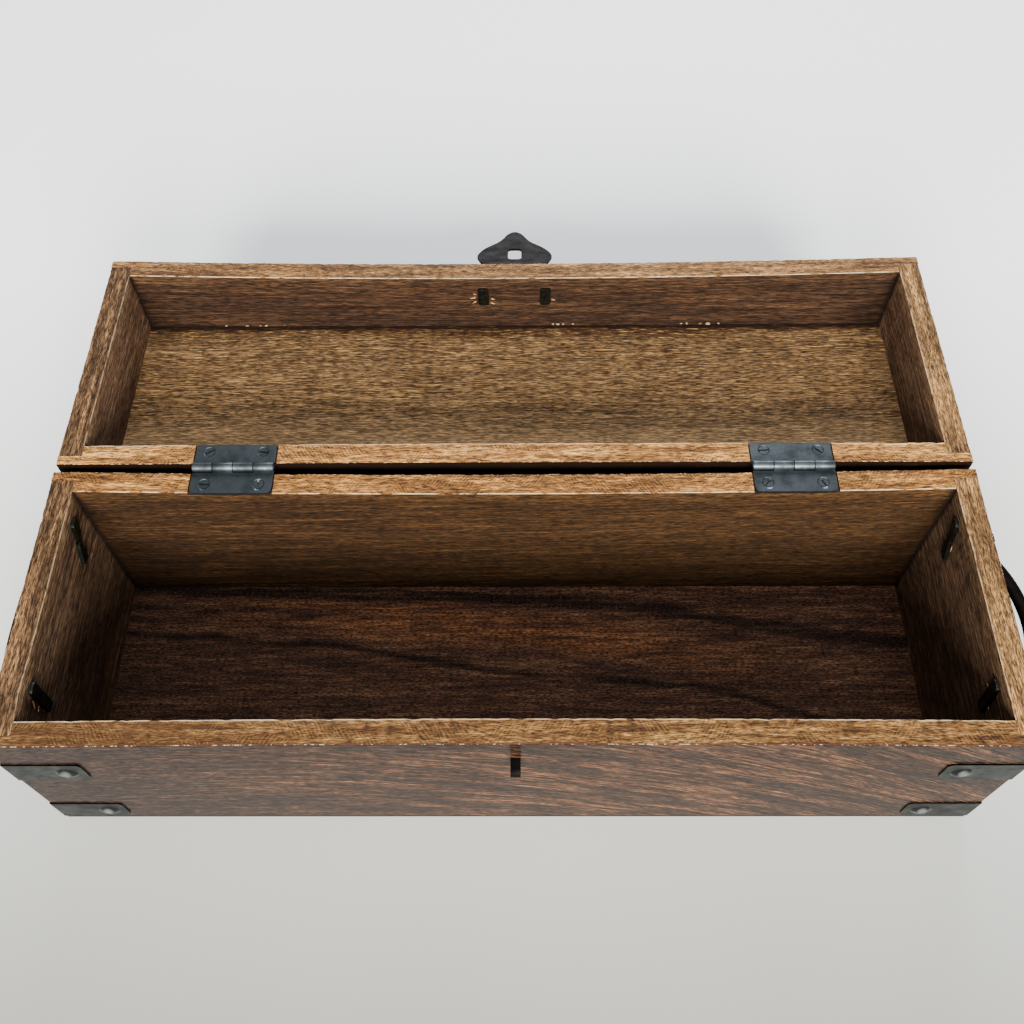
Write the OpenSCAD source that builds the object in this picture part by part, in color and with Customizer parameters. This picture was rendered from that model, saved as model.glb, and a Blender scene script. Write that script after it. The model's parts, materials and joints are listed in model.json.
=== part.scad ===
// Lidded wooden donation box with blackened iron fittings, shown with its lid laid back.
// Frame: origin at the centre of the underside, +X to the right, +Y to the back, +Z up.
// The lid, hasp and handles are drawn shut or hanging, then turned about their own pins.

/* [Box] */
// Length of the box, along X
box_length = 406; // [380:1:440]
// Width of the box, along Y
box_width = 126; // [118:1:150]
// Height of the base, from its underside to its rim
base_height = 94.5; // [85:0.5:120]
// Height of the lid, from its rim to its top
lid_height = 44; // [38:0.5:60]
// Thickness of every board
board = 10.5; // [9.5:0.1:12]
// Thickness that the corner rebates leave on the ends of the long boards
tongue = 4.7; // [3.5:0.1:5.5]
// Thickness of the bottom panel
bottom_panel = 4; // [3:0.5:6]
// Thickness of the top panel, inside the lid
top_panel = 7; // [5:0.5:8]
// How far the two panels reach into the boards
panel_rebate = 5.2; // [4:0.1:6]

/* [Lid] */
// Gap between the two rims when the lid is shut
seam = 0.8; // [0.6:0.1:1.2]
// Turn of the lid from shut to laid back
lid_turn = 181; // [150:0.5:181]

/* [Hinges] */
// Length of each hinge, along X
hinge_length = 36; // [32:0.5:42]
// Distance between the middles of the two hinges
hinge_spread = 247; // [200:1:270]
// Width of a leaf, from the middle of the pin to its edge
leaf_width = 12.6; // [12:0.1:15]
// Thickness of a leaf, let in flush with the rim
leaf_thickness = 1.3; // [1.3:0.1:1.8]
// Distance of the hinge pins behind the back face
hinge_setback = 1.9; // [1.9:0.1:2.5]
// Outer diameter of the knuckles
knuckle_diameter = 4.4; // [4:0.1:4.4]
// Diameter of the hinge pins
hinge_pin = 2.2; // [1.8:0.1:2.6]
// Knuckles on each hinge, shared by its two leaves
knuckles = 4; // [2:1:6]
// Gap left round each leaf in its recess
recess_gap = 0.6; // [0.3:0.1:1]
// Distance between the two screws of a leaf
screw_spread = 24; // [18:0.5:28]
// Distance of the screws from the hinge pin
screw_offset = 8.6; // [7:0.1:9.5]
// Diameter of the countersunk screw heads
screw_head = 4.6; // [4:0.1:5.5]
// Gap round each screw head in its countersink
screw_gap = 0.4; // [0.2:0.1:0.6]
// Turn of each screw's slot, in the order that they are driven
screw_slots = [175, 100, 53, 117, 147, 10, 175, 45];

/* [Hasp] */
// Height of the hasp's pivot above the lid's rim
hasp_pivot_height = 15; // [12:0.5:16]
// Distance of the hasp's pivot in front of the lid
hasp_standoff = 4.2; // [4:0.1:5]
// Distance between the two loops that hold the hasp
hasp_loop_spread = 31.5; // [28:0.5:34]
// Distance of the hasp to the right of the middle
hasp_shift = 0.4; // [0:0.1:0.6]
// Thickness of the hasp plate
hasp_thickness = 1; // [0.8:0.1:1.6]
// Turn of the hasp outward, from hanging flat against the shut box
hasp_turn = 115; // [0:0.5:170]
// Width of the slot in the hasp
slot_width = 7.2; // [7:0.1:8]
// Radius of the slot's corners
slot_corner = 2.2; // [1:0.1:2.4]
// Distance from the hasp's pivot to the near end of its slot
slot_near = 22.1; // [20:0.1:26]
// Distance from the hasp's pivot to the far end of its slot
slot_far = 38.3; // [37:0.1:40]
// Right half of the hasp's outline, as [across, along] from its pivot, eased into a curve
hasp_half = [
    [21, 0], [21, 5], [16.8, 13.5], [18.2, 18], [20.1, 26], [18.9, 33],
    [16.2, 39.5], [12.6, 45], [8.8, 50.5], [6.2, 57], [3.8, 64]
];
// Distance from the hasp's pivot to its tip
hasp_tip = 68; // [66:0.5:71]

/* [Staple] */
// Distance of the staple's top below the base's rim
staple_drop = 14.7; // [14:0.1:14.9]
// Outer height of the staple
staple_height = 5; // [4.4:0.1:5.2]
// Reach of the staple in front of the base
staple_reach = 6.2; // [5.8:0.1:7]
// Width of the staple's strip, along X
staple_width = 4; // [3:0.1:4.1]
// Distance of the staple to the right of the middle
staple_shift = 1.2; // [0:0.1:1.3]
// Thickness of the staple's strip
staple_strip = 1; // [0.8:0.1:1.2]
// Depth of the staple's legs in the board
staple_depth = 8; // [6:0.5:9]

/* [Handles] */
// Distance between the two loops that hold a handle
handle_spread = 73; // [70:0.5:80]
// Distance of a handle's pivot below the base's rim
handle_drop = 15.9; // [15:0.1:18]
// Distance of a handle's pivot outside the end board
handle_standoff = 4; // [3.8:0.1:5]
// Diameter of a handle's bar, in the middle of its curve
bail_diameter = 5.4; // [4.8:0.1:5.8]
// Diameter of the bar's two ends, inside the loops
bail_end_diameter = 4.2; // [3.6:0.1:4.4]
// Radius of the middle of a handle's curve
bail_radius = 27; // [25:0.5:29]
// Radius of the two bends beside it
bail_bend = 8; // [6:0.5:8.5]
// Reach of a handle's bar from its pivot
bail_reach = 16.2; // [15:0.1:17]
// Turn of the right handle outward, from hanging
right_handle_turn = 55; // [0:1:180]
// Turn of the left handle outward, from hanging
left_handle_turn = 33; // [0:1:180]

/* [Loops] */
// Width of the strips that hold the handles
handle_strip_width = 3; // [2.5:0.1:4]
// Width of the strips that hold the hasp
hasp_strip_width = 4.8; // [4:0.1:5]
// Thickness of both kinds of strip
loop_strip = 1.1; // [0.9:0.1:1.2]
// Length of each end that is bent over inside the box
handle_clinch = 10.5; // [7:0.5:12]
// The same for the ends of the hasp's strips
hasp_clinch = 6; // [4:0.5:8]
// Lean of the bent ends at the back of the box
clinch_lean = 10; // [0:1:15]

/* [Corner straps] */
// Length of each arm of a strap, from the corner
strap_arm = 31; // [28:0.5:33]
// Height of a strap
strap_height = 18.2; // [15:0.1:20]
// Thickness of a strap
strap_thickness = 0.6; // [0.5:0.1:1.2]
// Radius of a strap's upper free corners
strap_top_corner = 2.5; // [1:0.5:5]
// Radius of a strap's lower free corners
strap_low_corner = 5.5; // [2:0.5:8]
// Distance of the upper straps' top below the rim
strap_drop = 20.3; // [20:0.1:24]
// Height of the lower straps' bottom above the underside
strap_lift = 4; // [0.5:0.1:6]
// Distance of each nail from the corner
nail_inset = 23.2; // [18:0.1:25]
// Diameter of the domed nail heads
nail_head = 9.2; // [7:0.1:10]
// Height of the domed nail heads
nail_dome = 1.5; // [1:0.1:1.6]
// Diameter of the nails' shanks
nail_shank = 2.2; // [1.6:0.1:2.6]
// Depth of the nails in the boards
nail_depth = 8; // [6:0.5:9]

/* [Hidden] */
$fn = 48;
shank_facets = 24;

wood = "#7a5a3c";
iron = "#2b2c2c";
left = -1;
right = 1;
front = -1;
back = 1;

end_x = box_length / 2;
face_y = box_width / 2;
lid_rim = base_height + seam;
lid_top = lid_rim + lid_height;
pin_y = face_y + hinge_setback;
pin_z = base_height + seam / 2;
panel_edge = board - panel_rebate;
over = 1; // how far a cutting shape runs past the face that it opens

knuckle_gap = 0.4;
knuckle_length = hinge_length / knuckles;
running_gap = 0.05;
screw_shank = 2.4;
screw_depth = 9;
screw_cone = 1.1;
screw_sunk = 0.15; // how far a screw head lies below its leaf's face
slot_cut = [0.8, 0.6];
base_leaf_corner = 2.5;
lid_leaf_corner = 0.8;

hasp_z = lid_rim + hasp_pivot_height;
hasp_bar = 3;
loop_gap = 0.5; // clearance of a loop round the bar that it holds
hasp_window_gap = 0.4;
curve_steps = 4;
hasp_x = hasp_loop_spread / 2;

handle_z = base_height - handle_drop;
handle_x = end_x + handle_standoff;
bail_shoulder_gap = 0.6; // between the thicker bar and the loop beside it
bail_shoulder = handle_spread / 2 - handle_strip_width / 2 - bail_shoulder_gap;
bail_taper = 0.1; // what the bar loses in diameter at each end of a bend
bail_lap = 0.3; // how far each stretch of the bar starts inside the thicker one
bail_end_head = 1.4;
bail_head_flare = 1.8; // how much wider than the bar its end is hammered
bail_head_diameter = bail_end_diameter + bail_head_flare;

strap_low_z = strap_lift;
strap_high_z = base_height - strap_drop - strap_height;

// ---- Helpers ----

// A box of the given size, centred on X and Y and standing on z
module block(size, z) {
    translate([-size[0] / 2, -size[1] / 2, z]) cube(size);
}

// Puts its children where they are when the lid is laid back
module laid_back() {
    translate([0, pin_y, pin_z]) rotate([-lid_turn, 0, 0]) translate([0, -pin_y, -pin_z]) children();
}

// A rectangle from the origin whose far two corners are rounded
module rounded_tab(length, height, radius) {
    square([length - radius, height]);
    translate([0, radius]) square([length, height - 2 * radius]);
    for (corner_y = [radius, height - radius]) {
        translate([length - radius, corner_y]) circle(r = radius);
    }
}

// A point on the smooth curve through four points, between the middle two
function ease(p0, p1, p2, p3, t) =
    0.5 * (2 * p1 + (p2 - p0) * t + (2 * p0 - 5 * p1 + 4 * p2 - p3) * t * t
        + (3 * p1 - p0 - 3 * p2 + p3) * t * t * t);

// ---- Boards and panels ----

// A board along X whose outer face is at -Y or +Y, with a rebate at each end
module long_board(side, z, height) {
    difference() {
        translate([-end_x, side * (face_y - board / 2) - board / 2, z]) cube([box_length, board, height]);
        for (end = [left, right]) {
            translate([end * end_x, side * (face_y - tongue - board), z + height / 2])
                cube([2 * board, 2 * board, height + 2 * over], center = true);
        }
    }
}

// A board along Y between the tongues of the two long boards
module end_board(side, z, height) {
    translate([side * (end_x - board / 2), 0, 0]) block([board, box_width - 2 * tongue, height], z);
}

module panel(z, thickness) {
    block([box_length - 2 * panel_edge, box_width - 2 * panel_edge, thickness], z);
}

module base_board_cuts() {
    panel(-over, bottom_panel + over);
    for (side = [left, right]) hinge_recess(side);
    leaf_screws();
    front_staple_shape();
    handle_loops();
    strap_nails_shape(front);
    strap_nails_shape(back);
}

module lid_board_cuts() {
    panel(lid_top - top_panel, top_panel + over);
    lid_mirror() for (side = [left, right]) hinge_recess(side);
    lid_mirror() leaf_screws();
    for (side = [left, right]) hasp_loop(side);
}

module base_front_board() {
    color(wood) difference() {
        long_board(front, 0, base_height);
        base_board_cuts();
    }
}

module base_back_board() {
    color(wood) difference() {
        long_board(back, 0, base_height);
        base_board_cuts();
    }
}

module base_end(side) {
    color(wood) difference() {
        end_board(side, 0, base_height);
        base_board_cuts();
    }
}

module base_bottom_panel() {
    color(wood) panel(0, bottom_panel);
}

module lid_long_board(side) {
    color(wood) laid_back() difference() {
        long_board(side, lid_rim, lid_height);
        lid_board_cuts();
    }
}

module lid_end(side) {
    color(wood) laid_back() end_board_of_lid(side);
}

module end_board_of_lid(side) {
    difference() {
        end_board(side, lid_rim, lid_height);
        panel(lid_top - top_panel, top_panel + over);
    }
}

module lid_top_panel() {
    color(wood) laid_back() panel(lid_top - top_panel, top_panel);
}

// ---- Hinges ----

// Mirrors a hinge part of the base into the shut lid
module lid_mirror() {
    translate([0, 0, 2 * pin_z]) mirror([0, 0, 1]) children();
}

// The recess for a leaf, cut right across the top of the back board
module hinge_recess(side) {
    translate([side * hinge_spread / 2, pin_y - leaf_width - recess_gap, base_height - leaf_thickness])
        translate([-hinge_length / 2 - recess_gap, 0, 0])
            cube([hinge_length + 2 * recess_gap, leaf_width + recess_gap + over, leaf_thickness + over]);
}

// The stretch of one knuckle on the pin's line, made longer or shorter by grow at both ends
module knuckle(index, diameter, grow) {
    translate([-hinge_length / 2 + index * knuckle_length - grow, pin_y, pin_z]) rotate([0, 90, 0])
        cylinder(d = diameter, h = knuckle_length + 2 * grow);
}

// One leaf at x = 0, in the base's position; first is 0 or 1, its first knuckle
module hinge_leaf(first, corner, bore) {
    difference() {
        union() {
            translate([-hinge_length / 2, pin_y, base_height - leaf_thickness]) rotate([0, 0, -90])
                linear_extrude(leaf_thickness) rounded_tab(leaf_width, hinge_length, corner);
            for (index = [first : 2 : knuckles - 1]) knuckle(index, knuckle_diameter, -knuckle_gap / 2);
        }
        for (index = [1 - first : 2 : knuckles - 1]) {
            translate([-hinge_length / 2 + index * knuckle_length - knuckle_gap / 2,
                       pin_y - knuckle_diameter / 2 - knuckle_gap, base_height - leaf_thickness - over])
                cube([knuckle_length + knuckle_gap, knuckle_diameter, leaf_thickness + 2 * over]);
        }
        translate([-hinge_length / 2 - over, pin_y, pin_z]) rotate([0, 90, 0])
            cylinder(d = bore, h = hinge_length + 2 * over);
        for (place = [0, 1]) countersink(place);
    }
}

// The hole of a screw through a leaf at x = 0
module countersink(place) {
    translate([(place - 0.5) * screw_spread, pin_y - screw_offset, base_height - leaf_thickness]) {
        translate([0, 0, -over]) cylinder(d = screw_shank, h = 2 * over);
        translate([0, 0, leaf_thickness - screw_cone])
            cylinder(d1 = screw_shank, d2 = screw_head + 2 * screw_gap, h = screw_cone);
    }
}

// One screw of a leaf at x = 0, place 0 or 1 along it, without its slot
module leaf_screw(place) {
    translate([(place - 0.5) * screw_spread, pin_y - screw_offset, base_height - screw_sunk]) {
        translate([0, 0, screw_sunk - screw_cone])
            cylinder(d1 = screw_shank, d2 = screw_head, h = screw_cone - screw_sunk);
        translate([0, 0, -screw_depth]) cylinder(d = screw_shank, h = screw_depth - screw_cone / 2);
    }
}

// The slot of a screw, turned as listed under its number
module screw_slot(place, number) {
    translate([(place - 0.5) * screw_spread, pin_y - screw_offset, base_height])
        rotate([0, 0, screw_slots[number]])
            translate([-screw_head, -slot_cut[0] / 2, -screw_sunk - slot_cut[1]])
                cube([2 * screw_head, slot_cut[0], over]);
}

// The four screws of one part's two leaves, without their slots
module leaf_screws() {
    for (side = [left, right], place = [0, 1]) {
        translate([side * hinge_spread / 2, 0, 0]) leaf_screw(place);
    }
}

// The same with their slots, listed from the given number on
module slotted_screws(number) {
    for (side = [left, right], place = [0, 1]) {
        translate([side * hinge_spread / 2, 0, 0]) difference() {
            leaf_screw(place);
            screw_slot(place, number + side + 1 + place);
        }
    }
}

module base_leaf(side) {
    color(iron) translate([side * hinge_spread / 2, 0, 0])
        hinge_leaf(1, base_leaf_corner, hinge_pin);
}

module lid_leaf(side) {
    color(iron) laid_back() lid_mirror() translate([side * hinge_spread / 2, 0, 0])
        hinge_leaf(0, lid_leaf_corner, hinge_pin + 2 * running_gap);
}

module hinge_pin_rod(side) {
    color(iron) translate([side * hinge_spread / 2 - hinge_length / 2, pin_y, pin_z]) rotate([0, 90, 0])
        cylinder(d = hinge_pin, h = hinge_length);
}

module base_leaf_screws() {
    color(iron) slotted_screws(0);
}

module lid_leaf_screws() {
    color(iron) laid_back() lid_mirror() slotted_screws(4);
}

// ---- Loops of folded strip ----

// A strip folded round a bar at x = standoff, through a wall that ends at x = 0, with both its
// ends bent over inside; the bar lies along Y
module strip_loop(width, bar, standoff, clinch, lean) {
    bore = bar + 2 * loop_gap;
    rotate([90, 0, 0]) translate([0, 0, -width / 2]) difference() {
        union() {
            translate([standoff, 0, 0]) cylinder(d = bore + 2 * loop_strip, h = width);
            translate([-board - loop_strip, -loop_strip, 0])
                cube([board + loop_strip + standoff, 2 * loop_strip, width]);
        }
        translate([standoff, 0, -over]) cylinder(d = bore, h = width + 2 * over);
    }
    translate([-board - loop_strip, 0, 0]) rotate([lean, 0, 0])
        translate([0, -width / 2, -clinch]) cube([loop_strip, width, 2 * clinch]);
}

module hasp_loop(side) {
    translate([hasp_shift + side * hasp_x, -face_y, hasp_z]) rotate([0, 0, -90])
        strip_loop(hasp_strip_width, hasp_bar, hasp_standoff, hasp_clinch, 0);
}

module hasp_loop_node(side) {
    color(iron) laid_back() hasp_loop(side);
}

module handle_loop(side, place) {
    translate([side * end_x, place * handle_spread / 2, handle_z]) rotate([0, 0, side > 0 ? 0 : 180])
        strip_loop(handle_strip_width, bail_end_diameter, handle_standoff, handle_clinch,
                   place > 0 ? -side * clinch_lean : 0);
}

module handle_loops() {
    for (side = [left, right], place = [front, back]) handle_loop(side, place);
}

module handle_loop_node(side, place) {
    color(iron) handle_loop(side, place);
}

// ---- Hasp and staple ----

// Both halves of the outline, eased, with its straight foot at the pivot
module hasp_outline() {
    half = concat(hasp_half, [[0, hasp_tip]], [for (p = [hasp_half[len(hasp_half) - 1]]) [-p[0], p[1]]]);
    last = len(half) - 2;
    curve = [
        for (i = [1 : last - 1], step = [0 : curve_steps - 1])
            ease(half[i - 1], half[i], half[i + 1], half[i + 2], step / curve_steps)
    ];
    side = concat([half[0]], curve);
    mirrored = [for (i = [len(side) - 1 : -1 : 0]) [-side[i][0], side[i][1]]];
    polygon(concat(side, [[0, hasp_tip]], mirrored));
}

// A slot with rounded corners between two distances from the pivot
module hasp_slot() {
    across = slot_width / 2 - slot_corner;
    translate([-slot_width / 2, slot_near + slot_corner])
        square([slot_width, slot_far - slot_near - 2 * slot_corner]);
    translate([-across, slot_near]) square([2 * across, slot_far - slot_near]);
    for (side = [left, right], along = [slot_near + slot_corner, slot_far - slot_corner]) {
        translate([side * across, along]) circle(r = slot_corner);
    }
}

// The window that lets a loop pass round the bar at the hasp's foot
module hasp_window() {
    window_width = hasp_strip_width + 2 * hasp_window_gap;
    window_reach = hasp_bar / 2 + loop_gap + loop_strip + hasp_window_gap;
    translate([-window_width / 2, -over]) square([window_width, window_reach + over]);
}

module hasp_plate() {
    color(iron) laid_back() translate([hasp_shift, -face_y - hasp_standoff, hasp_z])
        rotate([-hasp_turn, 0, 0]) {
        rotate([-90, 0, 0]) linear_extrude(hasp_thickness, center = true) difference() {
            hasp_outline();
            hasp_slot();
            for (side = [left, right]) translate([side * hasp_x, 0]) hasp_window();
        }
        translate([-hasp_half[0][0], 0, 0]) rotate([0, 90, 0])
            cylinder(d = hasp_bar, h = 2 * hasp_half[0][0]);
    }
}

// Side view of the staple: x outward from the board's face, y up from its lower edge
module staple_profile(inset) {
    height = staple_height - 2 * inset;
    straight = staple_reach - staple_height / 2;
    translate([-staple_depth - (inset > 0 ? over : 0), inset])
        square([staple_depth + straight + (inset > 0 ? over : 0), height]);
    translate([straight, staple_height / 2]) circle(d = height);
}

module front_staple_shape() {
    translate([staple_shift + staple_width / 2, -face_y, base_height - staple_drop - staple_height])
        rotate([90, 0, -90]) linear_extrude(staple_width) difference() {
            staple_profile(0);
            staple_profile(staple_strip);
        }
}

module front_staple() {
    color(iron) front_staple_shape();
}

// ---- Handles ----

// Part of a ring in the XY plane, of a bar of the given diameter
module bar_arc(centre, radius, start, sweep, diameter) {
    translate(centre) rotate([0, 0, start]) rotate_extrude(angle = sweep) translate([radius, 0])
        circle(d = diameter);
}

// A handle in the XY plane, reaching along +Y from the pivot's line, its ends along X
module bail_shape() {
    spread = bail_radius + bail_bend;
    slope = acos((spread - bail_reach) / spread);
    lap = bail_lap / bail_radius * 180 / PI;
    bend_x = spread * sin(slope);
    foot_x = bend_x - bail_lap;
    bar_arc([0, bail_reach - bail_radius], bail_radius, 90 - slope - lap, 2 * (slope + lap), bail_diameter);
    bar_arc([bend_x, bail_bend], bail_bend, 270 - slope, slope, bail_diameter - bail_taper);
    bar_arc([-bend_x, bail_bend], bail_bend, 270, slope, bail_diameter - bail_taper);
    for (end = [left, right]) rotate([0, end * 90, 0]) {
        translate([0, 0, foot_x]) cylinder(d = bail_diameter - 2 * bail_taper, h = bail_shoulder - foot_x);
        translate([0, 0, bail_shoulder])
            cylinder(d = bail_end_diameter, h = handle_spread - 2 * bail_shoulder);
        translate([0, 0, handle_spread - bail_shoulder])
            cylinder(d = bail_head_diameter, h = bail_end_head);
    }
}

module bail(side, turn) {
    color(iron) translate([side * handle_x, 0, handle_z]) rotate([0, -side * turn, 0]) rotate([-90, 0, 90])
        bail_shape();
}

// ---- Corner straps ----

// One arm of a strap, flat, from the corner at the origin
module strap_arm_shape() {
    translate([0, strap_low_corner])
        square([strap_arm, strap_height - strap_low_corner - strap_top_corner]);
    square([strap_arm - max(strap_low_corner, strap_top_corner), strap_height]);
    translate([0, strap_height / 2]) square([strap_arm - strap_top_corner, strap_height / 2]);
    translate([strap_arm - strap_low_corner, strap_low_corner]) circle(r = strap_low_corner);
    translate([strap_arm - strap_top_corner, strap_height - strap_top_corner]) circle(r = strap_top_corner);
}

// A strap round the corner at the origin, its arms along +X and +Y and its thickness outside
module corner_strap() {
    rotate([90, 0, 0]) linear_extrude(strap_thickness) strap_arm_shape();
    rotate([0, 0, 90]) mirror([0, 1, 0]) rotate([90, 0, 0]) linear_extrude(strap_thickness)
        strap_arm_shape();
    rotate([0, 0, 180]) rotate_extrude(angle = 90) square([strap_thickness, strap_height]);
}

// One domed nail standing on the plane z = 0, its shank below
module strap_nail() {
    dome_radius = (pow(nail_head / 2, 2) + pow(nail_dome, 2)) / (2 * nail_dome);
    intersection() {
        translate([0, 0, nail_dome - dome_radius]) sphere(r = dome_radius);
        cylinder(d = nail_head + over, h = nail_dome);
    }
    translate([0, 0, -strap_thickness - nail_depth])
        cylinder(d = nail_shank, h = strap_thickness + nail_depth, $fn = shank_facets);
}

// Moves a part drawn at the corner at the origin to one of the box's four corners
module at_corner(side, place, z) {
    translate([side * end_x, place * face_y, z]) mirror([side > 0 ? 1 : 0, 0, 0])
        mirror([0, place > 0 ? 1 : 0, 0]) children();
}

// The two nails of a strap, one on each arm
module strap_nail_pair() {
    translate([nail_inset, -strap_thickness, strap_height / 2]) rotate([90, 0, 0]) strap_nail();
    translate([-strap_thickness, nail_inset, strap_height / 2]) rotate([0, -90, 0]) strap_nail();
}

module strap(side, place, z) {
    color(iron) at_corner(side, place, z) difference() {
        corner_strap();
        strap_nail_pair();
    }
}

module strap_nails_shape(place) {
    for (side = [left, right], z = [strap_low_z, strap_high_z]) at_corner(side, place, z) strap_nail_pair();
}

module strap_nails(place) {
    color(iron) strap_nails_shape(place);
}

// ---- Parts ----

base_front_board();
base_back_board();
base_end(left);  // base_left_end
base_end(right);  // base_right_end
base_bottom_panel();
lid_long_board(front);  // lid_front_board
lid_long_board(back);  // lid_back_board
lid_end(left);  // lid_left_end
lid_end(right);  // lid_right_end
lid_top_panel();
base_leaf(left);  // left_hinge_base_leaf
base_leaf(right);  // right_hinge_base_leaf
hinge_pin_rod(left);  // left_hinge_pin
hinge_pin_rod(right);  // right_hinge_pin
lid_leaf(left);  // left_hinge_lid_leaf
lid_leaf(right);  // right_hinge_lid_leaf
base_leaf_screws();
lid_leaf_screws();
hasp_plate();
hasp_loop_node(left);  // hasp_left_loop
hasp_loop_node(right);  // hasp_right_loop
front_staple();
bail(left, left_handle_turn);  // left_handle_bail
bail(right, right_handle_turn);  // right_handle_bail
handle_loop_node(left, front);  // left_handle_front_loop
handle_loop_node(left, back);  // left_handle_back_loop
handle_loop_node(right, front);  // right_handle_front_loop
handle_loop_node(right, back);  // right_handle_back_loop
strap(left, front, strap_high_z);  // front_left_upper_strap
strap(left, front, strap_low_z);  // front_left_lower_strap
strap(right, front, strap_high_z);  // front_right_upper_strap
strap(right, front, strap_low_z);  // front_right_lower_strap
strap(left, back, strap_high_z);  // back_left_upper_strap
strap(left, back, strap_low_z);  // back_left_lower_strap
strap(right, back, strap_high_z);  // back_right_upper_strap
strap(right, back, strap_low_z);  // back_right_lower_strap
strap_nails(front);  // front_strap_nails
strap_nails(back);  // back_strap_nails
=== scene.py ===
# %% [markdown]
# # A wooden donation box, dressed in Blender
# The box's solids come from CAD as a fixed frame, in metres, with +Z up and the front at -Y.
# This lesson dresses that frame. The boards are made again, slightly bowed and worn, as boards
# are on an old box. Most of the iron keeps its CAD shape, and all of it gets eased edges and a
# finish.

import json
import math

import bmesh
import bpy
from mathutils import Matrix, Vector, noise


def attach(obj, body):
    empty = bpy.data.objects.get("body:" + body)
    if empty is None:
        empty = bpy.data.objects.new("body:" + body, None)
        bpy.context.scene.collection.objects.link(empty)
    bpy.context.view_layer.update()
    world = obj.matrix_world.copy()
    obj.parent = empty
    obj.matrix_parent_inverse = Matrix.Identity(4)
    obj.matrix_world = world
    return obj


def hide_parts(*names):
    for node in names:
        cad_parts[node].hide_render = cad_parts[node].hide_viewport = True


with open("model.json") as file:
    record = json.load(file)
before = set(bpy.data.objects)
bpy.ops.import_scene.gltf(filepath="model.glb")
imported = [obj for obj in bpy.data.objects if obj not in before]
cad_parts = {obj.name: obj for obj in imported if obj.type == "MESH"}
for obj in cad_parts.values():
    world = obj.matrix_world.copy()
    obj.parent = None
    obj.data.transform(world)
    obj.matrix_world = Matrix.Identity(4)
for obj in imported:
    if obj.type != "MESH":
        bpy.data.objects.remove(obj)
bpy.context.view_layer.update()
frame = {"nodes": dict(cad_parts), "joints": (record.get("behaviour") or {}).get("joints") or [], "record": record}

# %% [markdown]
# ## Two helpers for finishes
# A finish is a small network of nodes. One function adds any node, sets it and links it, so that
# each finish reads as a list of what the eye sees. Colours are written as the sRGB values that a
# paint chart gives, and one function turns them into the linear values that light is counted in.

# %% Colours and nodes
MM = 0.001


def linear(colour):
    """An sRGB hex colour as linear red, green, blue and alpha."""
    parts = [int(colour[i : i + 2], 16) / 255 for i in (1, 3, 5)]
    return [v / 12.92 if v <= 0.04045 else ((v + 0.055) / 1.055) ** 2.4 for v in parts] + [1.0]


def add(tree, kind, inputs=None, stops=(), **settings):
    """Adds one node. Inputs are values, hex colours, nodes or sockets; stops fill a colour ramp."""
    made = tree.nodes.new("ShaderNode" + kind)
    for name, value in settings.items():
        setattr(made, name, value)
    for number, (place, colour) in enumerate(stops):
        if number > 1:
            made.color_ramp.elements.new(place)
        made.color_ramp.elements[number].position = place
        made.color_ramp.elements[number].color = linear(colour)
    for name, value in (inputs or {}).items():
        if isinstance(value, bpy.types.Node):
            value = value.outputs[0]
        if isinstance(value, bpy.types.NodeSocket):
            tree.links.new(value, made.inputs[name])
        else:
            made.inputs[name].default_value = linear(value) if isinstance(value, str) else value
    return made


BLACK, WHITE = "#000000", "#FFFFFF"
print("linear value of middle grey:", round(linear("#808080")[0], 3))

# %% [markdown]
# ## The patterns that every wood shares
# Wood grain is far longer than it is wide. A noise pattern whose scale along the board is some
# tens of times larger than across it gives streaks, pores and bands alike, so only the sizes in
# millimetres change. The boards carry their own millimetre coordinates: along, across from
# the inner face outward, and down from the rim. The grain then follows each board, and stays on
# it when the board bows or the lid turns.

# %% Grain
BOARD_MM = "board_mm"  # each point's place on its board
SHIFT_MM = "shift_mm"  # moves the pattern, so that no two boards match
CORNER_MM = "corner_mm"  # distance to the inside corner, and to the panel


def finish(name):
    """A new material, its node tree and its surface shader."""
    made = bpy.data.materials.new(name)
    made.use_nodes = True
    return made, made.node_tree, made.node_tree.nodes["Principled BSDF"]


def stored(tree, name):
    """The three numbers that a board's points carry under that name."""
    vector = add(tree, "Attribute", attribute_name=name).outputs["Vector"]
    return add(tree, "SeparateXYZ", {0: vector}).outputs


def on_board(tree):
    """Millimetre coordinates on a board, shifted from board to board."""
    here = add(tree, "Attribute", attribute_name=BOARD_MM).outputs["Vector"]
    away = add(tree, "Attribute", attribute_name=SHIFT_MM).outputs["Vector"]
    return add(tree, "VectorMath", {0: here, 1: away}, operation="ADD")


def grain(tree, place, size, turn=(0, 0, 0), detail=3.0, wander=0.0, rough=0.55):
    """Noise whose patches have the given size in mm along, across and down, turned on the face."""
    turned = add(tree, "Mapping", {"Vector": place, "Rotation": turn})
    scaled = add(tree, "Mapping", {"Vector": turned, "Scale": tuple(1 / side for side in size)})
    look = {"Vector": scaled, "Scale": 1.0, "Detail": detail, "Roughness": rough}
    return add(tree, "TexNoise", {**look, "Distortion": wander})


print("patterns ready")

# %% [markdown]
# ## Masks
# A mask is a number from 0 to 1 that says where a colour goes. A colour ramp makes one from any
# pattern, and its two ends set how soft the border is. Where the border is a matter of distance,
# such as the dirt near a corner, the ends are given in millimetres.

# %% Masks and layers
HALF_LENGTH, LENGTH = 200.0, 400.0  # mm, a little more than the inside of the box
SHADED, LIT = "#4A4A4A", "#F8F8F8"  # what a fibre does to the colour below it: darkens or lightens


def mask(tree, value, low, high):
    """0 below low and 1 above high; with low above high, the other way round."""
    ends = ((low, BLACK), (high, WHITE)) if low < high else ((high, WHITE), (low, BLACK))
    return add(tree, "ValToRGB", {"Fac": value}, stops=ends)


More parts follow.
